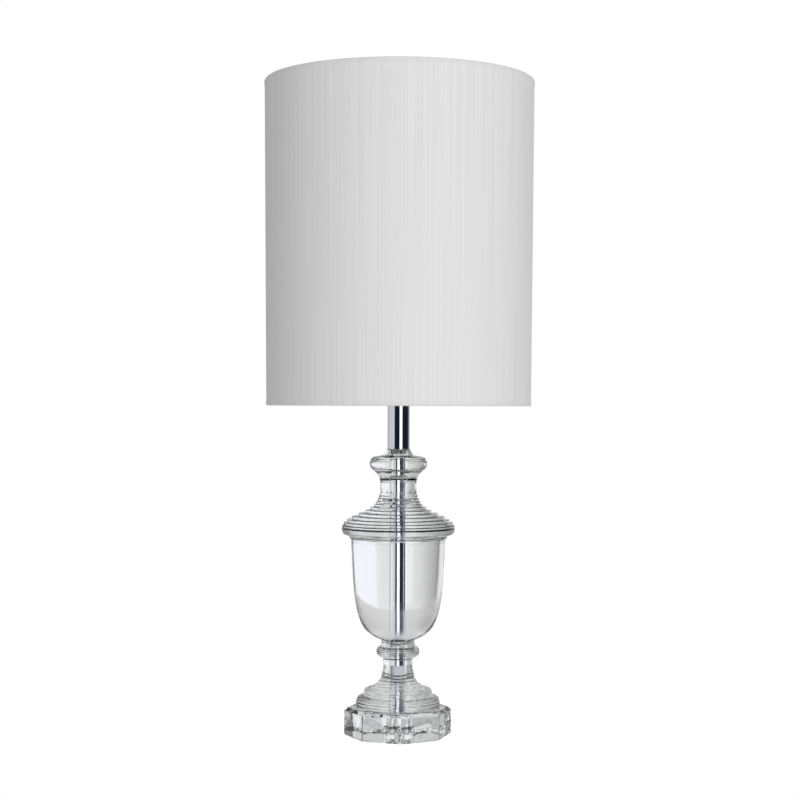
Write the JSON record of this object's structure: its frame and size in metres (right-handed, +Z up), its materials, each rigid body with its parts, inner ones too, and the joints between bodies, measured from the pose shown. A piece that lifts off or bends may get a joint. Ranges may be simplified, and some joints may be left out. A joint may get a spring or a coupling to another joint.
{
  "type": "table lamp with shade",
  "caption": "Table lamp with a turned clear crystal column on an octagonal plinth, a chrome neck and a tall slub fabric drum shade.",
  "frame": {"origin": "bottom centre of the plinth's pads, on the table under the column's axis", "axes": "+Z up along the column's axis; -Y is the front, with a corner of the octagonal plinth almost straight ahead; +X is to the right seen from the front"},
  "size_m": [0.3038, 0.3038, 0.735],
  "materials": {
    "crystal": "polished clear crystal",
    "clear_plastic": "clear soft plastic",
    "chrome": "polished chrome plate",
    "zinc_steel": "zinc plated steel",
    "brass": "bright turned brass",
    "black_rubber": "moulded rubber",
    "holder_plastic": "moulded white thermoplastic",
    "ceramic_insert": "unglazed ceramic",
    "white_enamel": "white powder coat",
    "liner": "white translucent sheet",
    "fabric": "slub weave with an upright thread",
    "hem_fabric": "rolled slub weave",
    "nickel": "nickel plated",
    "black_glass": "black glass insulator",
    "bulb_white": "white housing",
    "opal": "opal diffuser",
    "board_white": "white circuit board",
    "board_green": "green circuit board"
  },
  "bodies": {
    "base": {"feet": "clear_plastic", "plinth": "crystal", "foot_stem": "crystal", "knop": "crystal", "bowl": "crystal", "lid": "crystal", "knob": "crystal", "clear_washers": "clear_plastic", "rod_sleeve": "chrome", "tie_rod": "zinc_steel", "rubber_washer": "black_rubber", "steel_washer": "zinc_steel", "rod_nut": "zinc_steel", "cord_bush": "clear_plastic", "neck_tube": "chrome", "neck_base_disc": "brass", "neck_cap": "chrome", "lock_nut": "brass", "holder_cap": "holder_plastic", "holder_shell": "holder_plastic", "holder_insert": "ceramic_insert", "screw_shell": "brass", "centre_contact": "brass", "terminal_screws": "zinc_steel", "lower_shade_ring": "holder_plastic"},
    "bulb_tip": {"bulb_contact": "nickel"},
    "bulb": {"bulb_insulator": "black_glass", "bulb_cap": "nickel", "bulb_housing": "bulb_white", "bulb_diffuser": "opal", "led_board": "board_white", "driver_board": "board_green"},
    "clamp_ring": {"upper_shade_ring": "holder_plastic"},
    "shade": {"shade_hub": "white_enamel", "shade_arms": "white_enamel", "bottom_wire_ring": "white_enamel", "top_wire_ring": "white_enamel", "shade_liner": "liner", "shade_fabric": "fabric", "bottom_hem": "hem_fabric", "top_hem": "hem_fabric"}
  },
  "joints": [
    {"name": "bulb_rise", "type": "slide", "parent": "base", "child": "bulb_tip", "axis": [0, 0, 1], "range_m": [0, 0.01452]},
    {"name": "bulb_turn", "type": "hinge", "parent": "bulb_tip", "child": "bulb", "pos_m": [0, 0, 0.42], "axis": [0, 0, 1], "range_deg": [0, 1441]},
    {"name": "shade_lift", "type": "slide", "parent": "base", "child": "clamp_ring", "axis": [0, 0, 1], "range_m": [0, 0.024]},
    {"name": "shade_turn", "type": "hinge", "parent": "clamp_ring", "child": "shade", "pos_m": [0, 0, 0.4067], "axis": [0, 0, 1], "continuous": true}
  ],
  "couplings": [
    {"joint": "bulb_turn", "follows": "bulb_rise", "rad_per_m": 1730.9}
  ]
}
